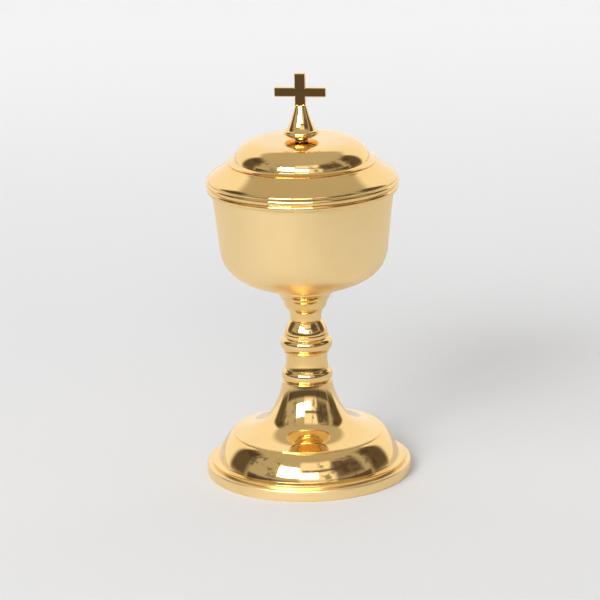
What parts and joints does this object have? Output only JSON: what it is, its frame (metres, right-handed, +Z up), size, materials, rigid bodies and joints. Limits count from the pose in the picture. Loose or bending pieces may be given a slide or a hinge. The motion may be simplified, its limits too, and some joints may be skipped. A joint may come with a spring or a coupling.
{
  "type": "ciborium",
  "caption": "Covered cup on a knopped stem and stepped round foot, with a lift-off stepped lid, turned finial and small plain cross.",
  "frame": {"origin": "centre of the foot's underside, on the surface that the vessel stands on", "axes": "+Z up along the turning axis, from the foot to the cross; the cross lies in the X-Z plane and faces -Y"},
  "size_m": [0.1, 0.1, 0.1987],
  "materials": {
    "polished_gilt": "polished",
    "satin_gilt": "satin",
    "dark_gilt": "machined",
    "steel": "machined"
  },
  "bodies": {
    "stand": {"foot_rim": "satin_gilt", "foot_shell": "polished_gilt", "foot_washer": "steel", "foot_nut": "steel", "tie_rod": "steel", "lower_collar": "polished_gilt", "stem_sleeve": "polished_gilt", "knop": "polished_gilt", "neck_bulb": "polished_gilt", "cup_support": "polished_gilt", "bowl_boss": "dark_gilt", "bowl_shell": "satin_gilt", "bowl_lip": "polished_gilt"},
    "seat_ring": {"lid_seat": "polished_gilt"},
    "lid": {"lid_rim": "polished_gilt", "lid_shell": "polished_gilt", "finial": "polished_gilt", "finial_washer": "steel", "finial_nut": "steel", "finial_stud": "steel", "cross": "polished_gilt"}
  },
  "joints": [
    {"name": "lid_lift", "type": "slide", "parent": "stand", "child": "seat_ring", "axis": [0, 0, 1], "range_m": [0, 0.12]},
    {"name": "lid_turn", "type": "hinge", "parent": "seat_ring", "child": "lid", "pos_m": [0, 0, 0.1448], "axis": [0, 0, 1], "continuous": true}
  ]
}
